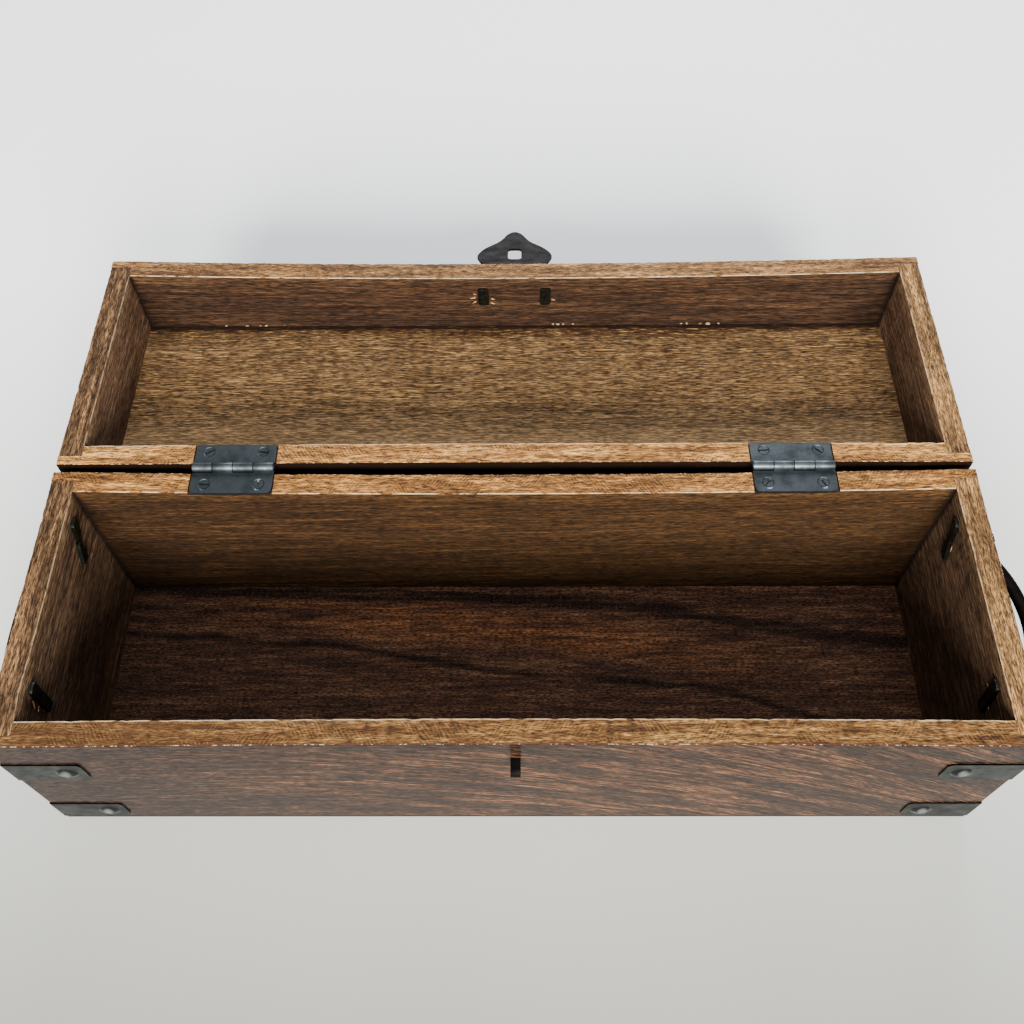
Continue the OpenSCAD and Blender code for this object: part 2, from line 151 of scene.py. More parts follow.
def within(tree, distance, start, end, span):
    """A mask for a distance in mm: black at start, white at end, both between 0 and span."""
    share = add(tree, "Math", {0: distance, 1: 1 / span}, operation="MULTIPLY")
    return mask(tree, share, start / span, end / span)


def lengthwise(tree, along, start, end):
    """A mask along the box, with start and end in mm from its left end."""
    from_left = add(tree, "Math", {0: along, 1: HALF_LENGTH}, operation="ADD")
    return within(tree, from_left, start, end, LENGTH)


def both(tree, first, second):
    """Where both masks are white."""
    return add(tree, "Math", {0: first, 1: second}, operation="MULTIPLY")


def over(tree, under, colour, where, share=1.0):
    """Lays a colour over another where the mask is white, up to the given share."""
    part = add(tree, "Math", {0: where, 1: share}, operation="MULTIPLY")
    return add(tree, "MixRGB", {"Fac": part, "Color1": under, "Color2": colour})


def fibres(tree, under, place, size, share, turn=(0, 0, 0), spread=0.12):
    """Fine strokes that darken and lighten the colour under them, as cut fibres do."""
    strokes = grain(tree, place, size, turn=turn, detail=2.0)
    ends = ((0.5 - spread, SHADED), (0.5 + spread, LIT))
    tone = add(tree, "ValToRGB", {"Fac": strokes}, stops=ends)
    layers = {"Fac": share, "Color1": under, "Color2": tone}
    return add(tree, "MixRGB", layers, blend_type="OVERLAY")


def relief(tree, height, depth_mm):
    """Bump for a height pattern from 0 to 1 that is depth_mm deep."""
    return add(tree, "Bump", {"Height": height, "Distance": depth_mm * MM, "Strength": 1.0})


def oil_finish(tree, shader, colour, height, depth_mm, rough=0.7, sheen=0.1):
    """Dull oiled or bare wood: little mirror reflection, and a shallow relief."""
    tree.links.new(colour.outputs[0], shader.inputs["Base Color"])
    shader.inputs["Roughness"].default_value = rough
    shader.inputs["IOR"].default_value = 1.5
    shader.inputs["Specular IOR Level"].default_value = sheen
    tree.links.new(relief(tree, height, depth_mm).outputs[0], shader.inputs["Normal"])


print("masks count over", LENGTH, "mm along the box")

# %% [markdown]
# ## Sawn mango wood: the rims
# The rims are mango wood, sawn and hardly sanded, and never stained: light golden brown with
# short dark pores and the slanting marks of a circular saw. That gives the eye a warm, dry, bright
# frame round each dark inside. The inner arris is rubbed pale. The outer one shows the ragged
# edge of the dark lacquer. Pores are really about 0.2 mm wide and are drawn at about 0.4 mm, so
# that they show from this far away. Each rim is a different board, so each has its own browns.

# %% Rim finish
BOARD_THICKNESS = 10.5  # mm, the same as in the CAD boards
ACROSS = 15.0  # mm, a little more than that
SAW_PITCH = 1.4  # mm between saw marks
SAW_TURN = math.radians(33)
WAVE = 2 * math.pi / 20  # a wave texture's own pitch at scale 1
PALE_ARRIS, LACQUER_EDGE = "#E0C49C", "#3E2417"


def sawn_rim(name, browns, ragged=0.5, saw=0.45, dim=0.0, arris=0.7):
    """Bare sawn wood. Its browns run from pale to dark, and the last is the colour of its pores.

    ragged is how far the lacquer creeps over the outer arris, in mm. saw, dim and arris say how
    strong the saw marks, the darkening to the left and the pale inner arris are.
    """
    pale, middle, dark, pore = browns
    made, tree, shader = finish(name)
    place = on_board(tree)
    along, out, _ = stored(tree, BOARD_MM)
    streaks = grain(tree, place, (45, 3.0, 3.0), wander=0.4)
    stops = ((0.34, dark), (0.5, middle), (0.66, pale))
    colour = add(tree, "ValToRGB", {"Fac": streaks}, stops=stops)
    colour = over(tree, colour, dark, mask(tree, grain(tree, place, (30, 9, 9)), 0.46, 0.66), 0.6)
    colour = fibres(tree, colour, place, (6, 1.0, 1.0), 0.5)
    colour = fibres(tree, colour, place, (3.0, 0.35, 0.35), 0.85)
    if dim:
        colour = over(tree, colour, dark, lengthwise(tree, along, 260, 40), dim)

    # saw marks lean one way or the other, in broken patches
    ground = grain(tree, place, (34, 14, 14), detail=1.0)
    broken = mask(tree, grain(tree, place, (4, 1.5, 1.5), detail=2.0), 0.4, 0.6)
    for turn, low, high in ((SAW_TURN, 0.52, 0.6), (-SAW_TURN, 0.47, 0.4)):
        turned = add(tree, "Mapping", {"Vector": place, "Rotation": (0, 0, turn)})
        teeth = {
            "Vector": turned,
            "Scale": WAVE / SAW_PITCH,
            "Distortion": 6.0,
            "Detail": 3.0,
            "Detail Scale": 0.8,
        }
        lines = add(tree, "TexWave", teeth, bands_direction="X")
        patches = both(tree, mask(tree, ground, low, high), broken)
        cut = both(tree, mask(tree, lines, 0.55, 0.9), patches)
        ridges = both(tree, mask(tree, lines, 0.3, 0.1), patches)
        colour = over(tree, colour, pore, cut, saw)
        colour = over(tree, colour, pale, ridges, saw * 0.7)
    pores = mask(tree, grain(tree, place, (3.2, 0.4, 0.4), detail=1.5), 0.58, 0.66)
    colour = over(tree, colour, pore, pores, 0.7)

    # the pale inner arris stops at the corners, and the outer one is ragged
    to_corner, _, _ = stored(tree, CORNER_MM)
    free = within(tree, to_corner, 0.0, 0.3, 10)
    breaks = grain(tree, place, (7, 2, 2))
    inner = both(tree, within(tree, out, 0.72, 0.32, 2), free)
    inner = both(tree, inner, mask(tree, breaks, 0.38, 0.52))
    colour = over(tree, colour, PALE_ARRIS, inner, arris)
    edge = add(tree, "Math", {0: out, 1: breaks}, operation="ADD")
    start = BOARD_THICKNESS - ragged + 0.5
    colour = over(tree, colour, LACQUER_EDGE, within(tree, edge, start, start + 0.3, ACROSS), 0.85)
    torn = mask(tree, grain(tree, place, (1.6, 1.2, 1.2), detail=2.0), 0.55, 0.6)
    lip = within(tree, out, BOARD_THICKNESS - 0.4, BOARD_THICKNESS - 0.2, ACROSS)
    colour = over(tree, colour, PALE_ARRIS, both(tree, torn, lip), 0.6)
    oil_finish(tree, shader, colour, pores, -0.08, rough=0.65)
    return made


FRONT_BROWNS = ("#83633B", "#644625", "#3B2514", "#1B1006")
BACK_BROWNS = ("#9D703D", "#7A5228", "#4D331A", "#26150A")
NEAR_BROWNS = ("#B5874D", "#8F6435", "#624121", "#331C0E")
FAR_BROWNS = ("#906943", "#6F5231", "#4A321F", "#26150B")
LEFT_BROWNS = ("#6F5236", "#4B3724", "#302114", "#150E08")
RIGHT_BROWNS = ("#946E43", "#6F5333", "#48331F", "#23170D")
rims = {
    "base_front_board": sawn_rim("sawn_mango_front_rim", FRONT_BROWNS, ragged=0.9, dim=0.55),
    "base_back_board": sawn_rim("sawn_mango_back_rim", BACK_BROWNS),
    "lid_back_board": sawn_rim("sawn_mango_near_rim", NEAR_BROWNS),
    "lid_front_board": sawn_rim("sawn_mango_far_rim", FAR_BROWNS, saw=0.35),
    "left": sawn_rim("sawn_mango_left_rim", LEFT_BROWNS, saw=0.15, arris=0.2),
    "right": sawn_rim("sawn_mango_right_rim", RIGHT_BROWNS, saw=0.2, arris=0.35),
}
print("rim finishes:", [rim.name for rim in rims.values()])

# %% [markdown]
# ## Oiled mango wood: the inside walls
# Inside, the same wood is stained and oiled. It gives the eye long streaks that run from olive to
# reddish brown with straw lines between them, and no gloss. The long walls are given darker tones
# than the end walls, as painted shade and painted light on copies of one wood. Where a wall meets
# its neighbour and the panel, the lines are darkened unevenly, by dirt and glue and by painted
# shade, and hardly at all at the foot of the base's long walls. The strip under the rim is painted
# lighter, as painted light, and the wall below it is painted darker down to near its foot.

# %% Wall finish
# the dark of soot and of painted shade: in the inside corners, along the foot of the outside and down the back
# under the hinges
SOOT_AND_SHADE = "#140C08"
WALL_SPAN = 100.0  # mm, a little more than the height of a wall
CORNER_SPAN = 10.0  # mm, more than the dirt reaches from a corner


def oiled_wall(name, tones, pore, turn=0.0, foot=0.85, warm=0.0):
    """Stained, oiled wood. Its tones run from dark to light, turn is the slope of its grain.

    foot is how dark the dirt and painted shade along the panel is, and warm how much lighter the right part is.
    """
    made, tree, shader = finish(name)
    place = on_board(tree)
    along, _, down = stored(tree, BOARD_MM)
    slope = (0, turn, 0)
    streaks = grain(tree, place, (60, 1.6, 1.6), turn=slope, wander=0.35, detail=5.0, rough=0.62)
    stops = tuple((0.32 + 0.36 * i / (len(tones) - 1), tone) for i, tone in enumerate(tones))
    colour = add(tree, "ValToRGB", {"Fac": streaks}, stops=stops)
    clouds = mask(tree, grain(tree, place, (70, 30, 20), turn=slope), 0.45, 0.66)
    colour = over(tree, colour, tones[0], clouds, 0.5)
    # painted light: the strip under the rim is lighter, as the top of a wall catches the most light
    colour = over(tree, colour, tones[-1], within(tree, down, 8, 2, 20), 0.7)
    # painted shade on the wall down to 72 mm from the rim, fading out toward the foot, so that the shaded foot is
    # painted lighter by comparison
    colour = over(tree, colour, tones[0], within(tree, down, 86, 72, WALL_SPAN), 0.4)
    if warm:
        colour = over(tree, colour, tones[-1], lengthwise(tree, along, 60, 280), warm)
    colour = fibres(tree, colour, place, (13, 0.6, 0.6), 0.525, turn=slope)
    colour = fibres(tree, colour, place, (4, 0.35, 0.35), 0.75, turn=slope)
    pores = grain(tree, place, (6, 0.45, 0.45), turn=slope, detail=1.5)
    pores = mask(tree, pores, 0.58, 0.66)
    colour = over(tree, colour, pore, pores, 0.6)
    to_corner, to_panel, _ = stored(tree, CORNER_MM)
    uneven = grain(tree, place, (7, 7, 7))
    # dirt and glue, and painted shade, darken the inside corner and the line along the panel
    for gap, soot_and_shade in ((to_corner, 0.85), (to_panel, foot)):
        wavy = add(tree, "Math", {0: uneven, 1: 3.0, 2: gap}, operation="MULTIPLY_ADD")
        colour = over(tree, colour, SOOT_AND_SHADE, within(tree, wavy, 4.2, 1.8, CORNER_SPAN), soot_and_shade)
    oil_finish(tree, shader, colour, pores, -0.08)
    return made


# painted shade and light: the long walls, which the lamps in front light, get darker tones and the end walls
# lighter ones, shaded and lit copies of one stained wood
SHADED_BASE_TONES = ("#1F130A", "#2A1B0D", "#352210", "#48321B")
LIT_BASE_END_TONES = ("#37291F", "#4F3A2B", "#624A36", "#7F6245")
SHADED_LID_TONES = ("#1F140D", "#2D1D13", "#392618", "#4A3421")
LIT_LID_END_TONES = ("#402E23", "#5A4433", "#6E543F", "#8A6C50")
BASE_SLOPE = math.radians(-2.0)
base_wall = oiled_wall(
    "oiled_mango_wall", SHADED_BASE_TONES, "#0E0804", turn=BASE_SLOPE, foot=0.0, warm=0.12
)
base_end_wall = oiled_wall("oiled_mango_end_wall", LIT_BASE_END_TONES, "#180F09")
lid_wall = oiled_wall("oiled_mango_lid_wall", SHADED_LID_TONES, "#120B06", foot=0.95)
lid_end_wall = oiled_wall("oiled_mango_lid_end_wall", LIT_LID_END_TONES, "#24170E")
print("wall finishes:", base_wall.name, base_end_wall.name, lid_wall.name, lid_end_wall.name)

# %% [markdown]
# ## Lacquered mango wood: the outside
# The outside is stained red-brown and lacquered. A clear coat over a dark, dull wood is what
# makes it look deep: the wood mirrors nothing and the coat mirrors the pale table in a grey
# veil, while orange streaks glow through it. The streaks run level at the left and swing
# downward to the right, because this board was cut across a curve of the tree. Under the hinges
# the back is painted dark from the rim down, as painted shade, and has hardly any lacquer.

# %% Outside finish
STREAK_SWING = 0.0011  # mm of drop for each mm along, squared
SWING_START = 120.0  # mm to the left of the middle
HINGE_SHADE_DEPTH = 14.0  # mm that the painted shade reaches down the back from the rim
STAIN = ((0.36, "#1C120D"), (0.48, "#302016"), (0.58, "#483020"), (0.7, "#6F4C31"))


def lacquered(name, swing=0.0, shade_depth=0.0, coat=0.3):
    """Stained wood under a clear coat. swing bends its streaks, and a depth in mm paints shade down from its upper
    edge.
    """
    made, tree, shader = finish(name)
    along, _, down = stored(tree, BOARD_MM)
    right_of = add(tree, "Math", {0: along, 1: SWING_START}, operation="ADD")
    square = add(tree, "Math", {0: right_of, 1: 2.0}, operation="POWER")
    drop = add(tree, "Math", {0: square, 1: -swing}, operation="MULTIPLY")
    fallen = add(tree, "CombineXYZ", {"Z": drop})
    place = add(tree, "VectorMath", {0: on_board(tree), 1: fallen}, operation="ADD")
    streaks = grain(tree, place, (28, 3, 1.7), wander=0.8, detail=6.0, rough=0.65)
    colour = add(tree, "ValToRGB", {"Fac": streaks}, stops=STAIN)
    bands = mask(tree, grain(tree, place, (60, 20, 11), detail=5.0), 0.42, 0.58)
    colour = over(tree, colour, "#1A1411", bands, 0.8)
    colour = over(tree, colour, "#1F1714", lengthwise(tree, along, 240, 20), 0.85)
    colour = fibres(tree, colour, place, (9, 0.8, 0.8), 0.6)
    colour = fibres(tree, colour, place, (3, 0.4, 0.4), 0.8)
    # painted shade: a dark line along the foot of the outside, where the box meets the table
    colour = over(tree, colour, SOOT_AND_SHADE, within(tree, down, 91.5, 92.6, WALL_SPAN), 0.8)
    # painted shade down the back from the rim, where the hinges and the lid shade it
    if shade_depth:
        colour = over(tree, colour, SOOT_AND_SHADE, within(tree, down, shade_depth, shade_depth / 2, 60), 0.95)
    tree.links.new(colour.outputs[0], shader.inputs["Base Color"])
    shader.inputs["Roughness"].default_value = 0.55
    shader.inputs["IOR"].default_value = 1.5
    shader.inputs["Specular IOR Level"].default_value = 0.0
    shader.inputs["Coat Weight"].default_value = coat
    shader.inputs["Coat Roughness"].default_value = 0.2
    shader.inputs["Coat IOR"].default_value = 1.5
    tree.links.new(relief(tree, streaks, 0.1).outputs[0], shader.inputs["Normal"])
    return made


front_lacquer = lacquered("lacquered_mango_front", swing=STREAK_SWING)
plain_lacquer = lacquered("lacquered_mango")
hinge_side_lacquer = lacquered("lacquered_mango_hinge_side", shade_depth=HINGE_SHADE_DEPTH, coat=0.02)
# the floor of a hinge's recess: dark dust, and painted shade, for the recess lies in shade under the leaf
recess_shade_and_soot, tree, shader = finish("shaded_sooty_end_grain")
dust_and_shade_grain = grain(tree, on_board(tree), (2, 2, 2))
dust = add(tree, "ValToRGB", {"Fac": dust_and_shade_grain}, stops=((0.3, "#1C120B"), (0.7, "#3A2416")))
oil_finish(tree, shader, dust, dust_and_shade_grain, 0.05, rough=0.9)
print("outside finishes:", front_lacquer.name, plain_lacquer.name, hinge_side_lacquer.name)

# %% [markdown]
# ## The boards
# Eight boards make the two frames. Each CAD board is right but perfectly straight and sharp, so
# each is made again from its own solid: its flat faces are merged, it is sliced across every 2 mm,
# its long arrises are eased, and then it is bent. A free rim between two glued corners
# bows inward by a few millimetres as it dries, most in its middle and not at all at the panel.
# Slices are needed because a mesh bends only where it has points. The lid's boards are worked on
# with the lid shut, where they lie as the base's do, and are then turned open.

# %% Turning the lid shut and open
hinge = next(j for j in frame["joints"] if j["name"] == "lid_hinge")
PIN = Vector(hinge["pos_m"])
LID_TURN = math.radians(181)
to_open = Matrix.Translation(PIN) @ Matrix.Rotation(-LID_TURN, 4, "X") @ Matrix.Translation(-PIN)
to_shut = to_open.inverted()
print("the lid turns about", [round(v * 1000, 2) for v in PIN], "mm")

# %% A board's own coordinates
SLICE = 2.0  # mm between the slices across a board
ARRIS = 0.5  # mm, width of the eased long edges
CHIP = 0.6  # mm, how deep the uneven wear on them goes
WORN_STRIP = 1.1  # mm from an arris, within which the wood is worn
INNER = (192.5, 52.5)  # mm from the middle to the inside corners, along X and along Y
TINY = 1e-5  # m, less than any real distance between two points of a board

# Knocks on an inner arris: where along the board, its half length and its depth, in mm
KNOCKS = {
    "base_left_end": ((-38.0, 9.0, 1.5), (-20.0, 5.0, 0.7)),
    "base_right_end": ((22.0, 6.0, 0.8),),
    "lid_right_end": ((-30.0, 8.0, 0.9),),
    "base_back_board": ((96.0, 4.0, 0.6),),
    "lid_front_board": ((-98.0, 4.0, 0.9),),
}
# node: axis along it, axis across it, outward sign, bow of its rim in mm
BOARDS = {
    "base_front_board": (0, 1, -1, 1.0),
    "base_back_board": (0, 1, 1, 2.0),
    "base_left_end": (1, 0, -1, 0.0),
    "base_right_end": (1, 0, 1, 0.0),
    "lid_front_board": (0, 1, -1, 3.2),
    "lid_back_board": (0, 1, 1, 0.5),
    "lid_left_end": (1, 0, -1, 0.0),
    "lid_right_end": (1, 0, 1, 0.0),
}


class Board:
    """A board in the shut box: where it lies, and any point's place on it in mm."""

    def __init__(self, node):
        self.along, self.across, self.side, self.bow = BOARDS[node]
        self.lengthways, self.outward = Vector((0, 0, 0)), Vector((0, 0, 0))
        self.lengthways[self.along] = 1
        self.outward[self.across] = self.side
        self.lid = node.startswith("lid")
        self.mesh = frame["nodes"][node].data.copy()
        if self.lid:
            self.mesh.transform(to_shut)
        corners = [[v.co[axis] / MM for v in self.mesh.vertices] for axis in range(3)]
        self.low = [min(c) for c in corners]
        self.high = [max(c) for c in corners]
        self.half = (self.high[self.along] - self.low[self.along]) / 2
        self.inner = INNER[self.along]
        self.knocks = KNOCKS.get(node, ())

    def place(self, point):
        """(along, out from the inner face, down from the rim), in mm."""
        co = [v / MM for v in point]
        outer = self.high[self.across] if self.side > 0 else self.low[self.across]
        out = BOARD_THICKNESS - abs(co[self.across] - outer)
        down = co[2] - self.low[2] if self.lid else self.high[2] - co[2]
        return Vector((co[self.along], out, down))

    def height(self):
        return self.high[2] - self.low[2]

    def bowed(self, along, down):
        """How far the board has moved inward at this place, in mm."""
        share = max(0.0, 1 - (along / self.inner) ** 2)
        return self.bow * share * max(0.0, 1 - down / self.height())


boards = {node: Board(node) for node in BOARDS}
print({node: round(2 * b.half, 1) for node, b in boards.items()}, "mm long")

# %% Slicing, easing and bending a board


def joined(mesh, turn=None, merge_flat=True):
    """A mesh to work on, turned if need be, with doubled points joined and flat faces merged."""
    bm = bmesh.new()
    bm.from_mesh(mesh)
    if turn is not None:
        bm.transform(turn)
    bmesh.ops.remove_doubles(bm, verts=bm.verts, dist=1e-6)
    if merge_flat:
        flat = math.radians(0.5)
        bmesh.ops.dissolve_limit(bm, angle_limit=flat, verts=bm.verts, edges=bm.edges)
    return bm


def sliced(board):
    """The board's mesh, cut across at each slice, with its long arrises eased."""
    bm = joined(board.mesh)
    count = int(2 * board.half / SLICE)
    for number in range(1, count):
        where = board.low[board.along] + 2 * board.half * number / count
        parts = bm.verts[:] + bm.edges[:] + bm.faces[:]
        cut = board.lengthways * where * MM
        bmesh.ops.bisect_plane(bm, geom=parts, dist=1e-7, plane_co=cut, plane_no=board.lengthways)
    limits = [(board.low[axis] * MM, board.high[axis] * MM) for axis in range(3)]
    long_edges = []
    for edge in bm.edges:
        flat = 0
        for axis in (a for a in range(3) if a != board.along):
            for limit in limits[axis]:
                flat += all(abs(v.co[axis] - limit) < TINY for v in edge.verts)
        if flat >= 2:
            long_edges.append(edge)
    bmesh.ops.bevel(bm, geom=long_edges, offset=ARRIS * MM, segments=2, profile=0.6, affect="EDGES")
    return bm


def worn(board, bm, number):
    """Wears the eased arrises unevenly, bows the board, and stores its millimetre coordinates."""
    names = (BOARD_MM, SHIFT_MM, CORNER_MM)
    on, shift, corner = (bm.verts.layers.float_vector.new(name) for name in names)
    down_way = Vector((0, 0, 1 if board.lid else -1))
    for v in bm.verts:
        along, out, down = board.place(v.co)
        v[on] = (along, out, down)
        v[shift] = (number * 137.0, number * 41.0, number * 23.0)
        v[corner] = (board.inner - abs(along), board.height() - down, 0)
        near = min(out, BOARD_THICKNESS - out)
        if near < WORN_STRIP and down < WORN_STRIP:
            rough = noise.noise(Vector((along * 0.22, out * 0.1, number * 7.3)))
            fine = noise.noise(Vector((along * 0.9, out * 0.1, number * 3.1)))
            wear = max(0.0, rough * 0.8 + fine * 0.5) * CHIP
            if out < BOARD_THICKNESS / 2:
                for middle, half, depth in board.knocks:
                    wear += depth * math.exp(-(((along - middle) / half) ** 2)) * (1 + fine)
            inward = -1 if out > BOARD_THICKNESS / 2 else 1
            v.co += (board.outward * inward * 0.7 + down_way * 0.7) * wear * MM
        v.co -= board.outward * board.bowed(along, down) * MM


def piece_from(name, bm, materials):
    """A new object from a finished mesh, with its finishes."""
    mesh = bpy.data.meshes.new(name)
    bm.to_mesh(mesh)
    bm.free()
    for material in materials:
        mesh.materials.append(material)
    made = bpy.data.objects.new(name, mesh)
    bpy.context.scene.collection.objects.link(made)
    return made


RIM, INSIDE, RECESS = 1, 2, 3  # places in a board's list of finishes; the outside's is 0
for number, (node, board) in enumerate(boards.items()):
    bm = sliced(board)
    bm.normal_update()
    up = Vector((0, 0, -1 if board.lid else 1))
    for face in bm.faces:
        if face.normal.dot(up) > 0.3:
            face.material_index = RIM
        elif face.normal.dot(board.outward) < -0.5:
            face.material_index = INSIDE
        middle = board.place(face.calc_center_median())
        # the floor of a hinge's recess lies under the rim, between the two faces of the board
        sunk = 0.3 < middle.z < 1.6 and 0.1 < middle.y < BOARD_THICKNESS - 0.1
        if sunk and abs(middle.x) < board.inner:
            face.material_index = RECESS
    worn(board, bm, number)
    if board.lid:
        bm.transform(to_open)
    rim = rims.get(node) or rims["left" if board.side < 0 else "right"]
    long_wall, end_wall = (lid_wall, lid_end_wall) if board.lid else (base_wall, base_end_wall)
    wall = long_wall if board.along == 0 else end_wall
    outside = front_lacquer if node == "base_front_board" else plain_lacquer
    outside = hinge_side_lacquer if "back" in node else outside
    finishes = [outside, rim, wall, recess_shade_and_soot]
    piece = piece_from(node + "_wood", bm, finishes)
    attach(piece, "lid" if board.lid else "base")
    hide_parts(node)
    print(node, len(piece.data.polygons), "faces, bow", board.bow, "mm")

# %% [markdown]
# ## Sheesham: the bottom panel
# The bottom panel is a darker, heavier wood, such as sheesham. Its black-brown bands are old
# growth that wanders along the board, with a warmer, redder zone between them, and its pores
# catch pale dust. One panel is seen from one side only, so its bands can be drawn where they lie:
# each is a line across Y that drifts along X. A curve node holds such a line in a square from 0 to
# 1, so millimetres are turned into shares of a field that is larger than the box, and back.

# %% Bands in a panel
FIELD = (400.0, 500.0)  # mm, the field along X and Y, with the box's middle at its centre
BAND_DRIFT = 9.0  # mm that the edges of a band wander
BAND_SPAN = 60.0  # mm, more than any band is wide


def on_part(tree):
    """Millimetre coordinates in the box, for a CAD part."""
    here = add(tree, "TexCoord").outputs["Object"]
    return add(tree, "VectorMath", {0: here, "Scale": 1000.0}, operation="SCALE")


def split(tree, vector):
    """The three numbers of a vector."""
    return add(tree, "SeparateXYZ", {0: vector}).outputs


def course(tree, place, points, half, blur):
    """A band that follows the points (x, y) in mm, half a width to either side, as a mask."""
    x, y, _ = split(tree, place)
    share = add(tree, "Math", {0: x, 1: 1 / FIELD[0], 2: 0.5}, operation="MULTIPLY_ADD")
    drawn = add(tree, "FloatCurve", {"Value": share})
    line = drawn.mapping.curves[0].points
    spots = [(px / FIELD[0] + 0.5, py / FIELD[1] + 0.5) for px, py in points]
    line[0].location, line[1].location = spots[0], spots[-1]
    for spot in spots[1:-1]:
        line.new(*spot)
    drawn.mapping.update()
    back = {0: drawn, 1: FIELD[1], 2: -FIELD[1] / 2}
    middle = add(tree, "Math", back, operation="MULTIPLY_ADD")
    off = add(tree, "Math", {0: y, 1: middle}, operation="SUBTRACT")
    torn = grain(tree, place, (45, 8, 8), detail=4.0)
    drift = add(tree, "Math", {0: torn, 1: 0.5}, operation="SUBTRACT")
    off = add(tree, "Math", {0: drift, 1: BAND_DRIFT, 2: off}, operation="MULTIPLY_ADD")
    size = add(tree, "Math", {0: off}, operation="ABSOLUTE")
    return within(tree, size, half + blur, half, BAND_SPAN)


print("bands are drawn in a field of", FIELD, "mm")

# %% Bottom panel finish
BOTTOM_DEPTH = 120.0  # mm, a little more than the panel is deep
RED_ZONE = ((-193, 37), (-60, 34), (0, 28), (60, 22), (120, 10), (193, 0))
BACK_BAND = ((-193, 52), (-134, 50), (-32, 47), (43, 42.5), (83, 38), (123, 30), (193, 21))
MIDDLE_BAND = (
    (-193, 27.6), (-158, 25), (-132, 22), (-98, 21), (-53, 14),
    (3, 5.5), (56, 1.2), (101, -3.5), (133, -14), (193, -38),
)
sheesham, tree, shader = finish("oiled_sheesham_panel")
place = on_part(tree)
x, y, _ = split(tree, place)
streaks = grain(tree, place, (45, 3.0, 3.0), wander=0.5, detail=4.0)
stops = ((0.34, "#32201A"), (0.5, "#452D20"), (0.66, "#593E2C"))
colour = add(tree, "ValToRGB", {"Fac": streaks}, stops=stops)
warm = course(tree, place, RED_ZONE, 5.0, 9.0)
for start, end in ((32, 120), (340, 240)):  # it fades out to the left and to the right
    warm = both(tree, warm, lengthwise(tree, x, start, end))
warm = both(tree, warm, mask(tree, streaks, 0.3, 0.6))
colour = over(tree, colour, "#7A4C2B", warm, 0.6)
colour = over(tree, colour, "#1C110B", lengthwise(tree, x, 140, 8), 0.35)
for line, half, blur in ((BACK_BAND, 2.2, 2.5), (MIDDLE_BAND, 0.9, 2.0)):
    dark = both(tree, course(tree, place, line, half, blur), mask(tree, streaks, 0.95, 0.45))
    colour = over(tree, colour, "#170D09", dark, 0.95)
# painted shade: the panel is darker towards the front wall, whose shade falls there
from_front = add(tree, "Math", {0: y, 1: BOTTOM_DEPTH / 2}, operation="ADD")
colour = over(tree, colour, "#1C110B", within(tree, from_front, 72, 24, BOTTOM_DEPTH), 0.12)
colour = fibres(tree, colour, place, (8, 0.9, 0.9), 0.5)
colour = fibres(tree, colour, place, (2.0, 0.5, 0.5), 0.9)
pores = mask(tree, grain(tree, place, (4, 0.5, 0.5), detail=1.0), 0.57, 0.66)
colour = over(tree, colour, "#120B07", pores, 0.5)
dust = mask(tree, grain(tree, place, (1.2, 0.45, 0.45), detail=1.0), 0.62, 0.7)
colour = over(tree, colour, "#8A6A48", dust, 0.35)
oil_finish(tree, shader, colour, pores, -0.06)
print("bottom panel finish:", sheesham.name)

# %% [markdown]
# ## Planed mango wood: the lid's panel
# The lid's panel is planed and lightly stained: a middle brown with long fine dark strokes
# and straw-coloured ripples, darker toward the side of the hasp, with a thin red-brown band there
# and a dark line in the corner, of dirt and painted shade. Toward the hinges it is painted lighter,
# as painted light where the near wall shades it. The tones come first and the fibres over them,
# so that no part looks painted flat. Its outer face is stained like the boards. It is one solid,
# so the finish tells the two by which way they face.

# %% Lid panel finish
LID_START = 70.0  # mm from the box's middle to just before the panel, with the lid open
LID_DEPTH = 120.0  # mm, a little more than the panel is deep
HASP_SIDE_BAND = ((-193, 180), (-60, 179), (0, 177.5), (60, 177.5), (110, 179.5), (193, 181))


def facing(tree):
    """Which way the surface faces, as three numbers from -1 to 1."""
    return split(tree, add(tree, "TexCoord").outputs["Normal"])


planed, tree, shader = finish("planed_mango_panel")
place = on_part(tree)
streaks = grain(tree, place, (70, 5.0, 5.0), wander=0.5, detail=3.0)
stops = ((0.34, "#674E35"), (0.5, "#775B3E"), (0.66, "#8A6B48"))
colour = add(tree, "ValToRGB", {"Fac": streaks}, stops=stops)
cloud = mask(tree, grain(tree, place, (50, 26, 26)), 0.45, 0.65)
colour = over(tree, colour, "#4E3A28", cloud, 0.3)
_, y, _ = split(tree, place)
from_hinges = add(tree, "Math", {0: y, 1: LID_START}, operation="SUBTRACT")
colour = over(tree, colour, "#3A2A1B", within(tree, from_hinges, 30, 114, LID_DEPTH), 0.85)
colour = over(tree, colour, "#2E1A10", course(tree, place, HASP_SIDE_BAND, 2.5, 3.5), 0.9)
ripples = grain(tree, place, (9, 0.5, 0.5), wander=0.6, detail=3.0)
colour = over(tree, colour, "#A5834F", mask(tree, ripples, 0.54, 0.64), 0.5)
colour = fibres(tree, colour, place, (10, 0.7, 0.7), 0.6)
colour = fibres(tree, colour, place, (3.5, 0.4, 0.4), 0.9)
strokes = mask(tree, grain(tree, place, (6, 0.45, 0.45), detail=1.5), 0.57, 0.66)
colour = over(tree, colour, "#2E1F13", strokes, 0.5)
# painted light: the panel is lighter towards the hinges, where the near wall shades it
colour = over(tree, colour, "#A98A5F", within(tree, from_hinges, 54, 12, LID_DEPTH), 0.4)
